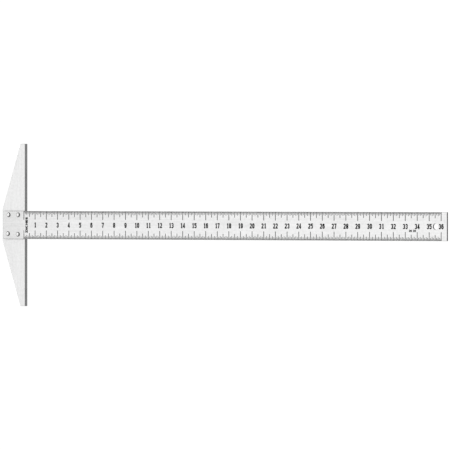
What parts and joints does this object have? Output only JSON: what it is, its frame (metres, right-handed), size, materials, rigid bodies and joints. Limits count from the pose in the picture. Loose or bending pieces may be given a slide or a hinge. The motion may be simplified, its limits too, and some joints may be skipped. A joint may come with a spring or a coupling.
{
  "type": "t square",
  "caption": "Aluminium drafting T-square: a flat blade ruled in inches, riveted across a tapered head plate.",
  "frame": {"origin": "on the head's working edge, in the middle of the blade's width, at the blade's underside, where the blade lies on the head", "axes": "+X along the blade, away from the head; +Y across the blade; +Z out of the graduated face"},
  "size_m": [0.9776, 0.296, 0.0135],
  "materials": {
    "head_plate": "brushed across the blade, satin",
    "blade_plate": "fine satin, clear anodised, with printed black graduations",
    "rivets": "smooth, lightly polished"
  },
  "bodies": {
    "root": {"head": "head_plate", "blade": "blade_plate", "rivet_front_upper": "rivets", "rivet_back_upper": "rivets", "rivet_front_lower": "rivets", "rivet_back_lower": "rivets"}
  },
  "joints": []
}
